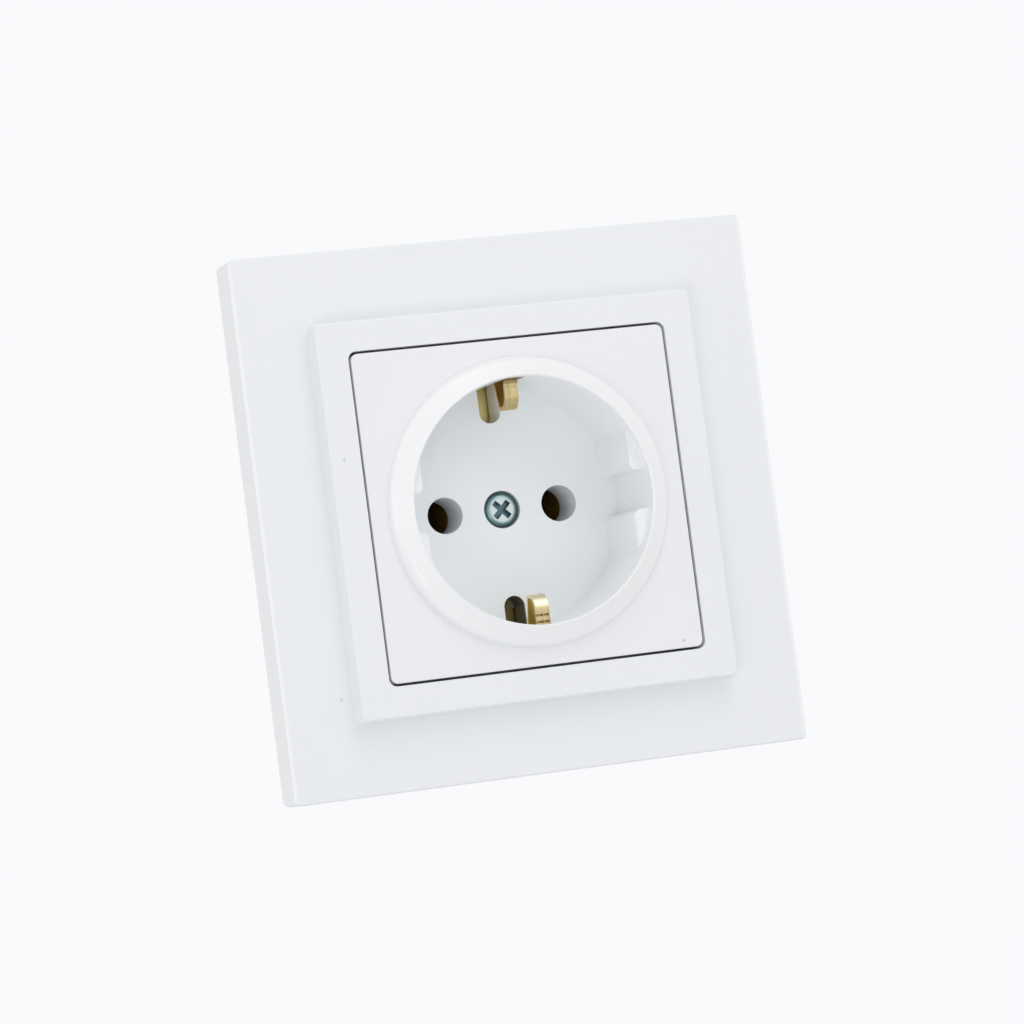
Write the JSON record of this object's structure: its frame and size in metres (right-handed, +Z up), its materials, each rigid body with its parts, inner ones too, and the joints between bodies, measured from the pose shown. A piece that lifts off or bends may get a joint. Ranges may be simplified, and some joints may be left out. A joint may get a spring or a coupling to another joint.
{
  "type": "wall socket",
  "caption": "Flush wall socket with a stepped square frame, a square cover, a deep round recess with side guide pads, pin holes and sprung earth contacts, on a screw and claw insert.",
  "frame": {"origin": "centre of the insert in the wall plane, midway between the box screw holes", "axes": "+X to the right seen from the front, +Z up, -Y towards the viewer, +Y into the wall"},
  "size_m": [0.0844, 0.0441, 0.0844],
  "materials": {
    "frame_plastic": "smooth moulded white, soft gloss",
    "cover_plastic": "smooth moulded white, soft gloss",
    "base_plastic": "moulded dark grey thermoset, matt",
    "plate_steel": "zinc plated sheet",
    "screw_steel": "zinc plated, turned",
    "spring_steel": "bare spring steel",
    "brass": "stamped brass strip, slightly dulled"
  },
  "bodies": {
    "root": {"decor_frame": "frame_plastic", "cover_plate": "cover_plastic", "cover_screw": "screw_steel", "centre_insert": "brass", "support_plate": "plate_steel", "socket_base": "base_plastic", "yoke_rivets": "screw_steel", "earth_contact": "brass", "strip_holder": "base_plastic", "live_contact": "brass", "neutral_contact": "brass", "contact_spring_live": "spring_steel", "contact_spring_neutral": "spring_steel", "terminal_clamp_live": "brass", "terminal_clamp_neutral": "brass", "terminal_clamp_earth": "brass", "terminal_screws": "screw_steel", "back_cover": "base_plastic", "back_cover_screws": "screw_steel", "claw_pin_left": "screw_steel", "claw_pin_right": "screw_steel", "claw_screws": "screw_steel"},
    "claw_left": {"claw_left": "plate_steel"},
    "claw_right": {"claw_right": "plate_steel"}
  },
  "joints": [
    {"name": "claw_left_hinge", "type": "hinge", "parent": "root", "child": "claw_left", "pos_m": [-0.0245, 0.004, 0], "axis": [0, 0, 1], "range_deg": [0, 25]},
    {"name": "claw_right_hinge", "type": "hinge", "parent": "root", "child": "claw_right", "pos_m": [0.0245, 0.004, 0], "axis": [0, 0, -1], "range_deg": [0, 25]}
  ]
}
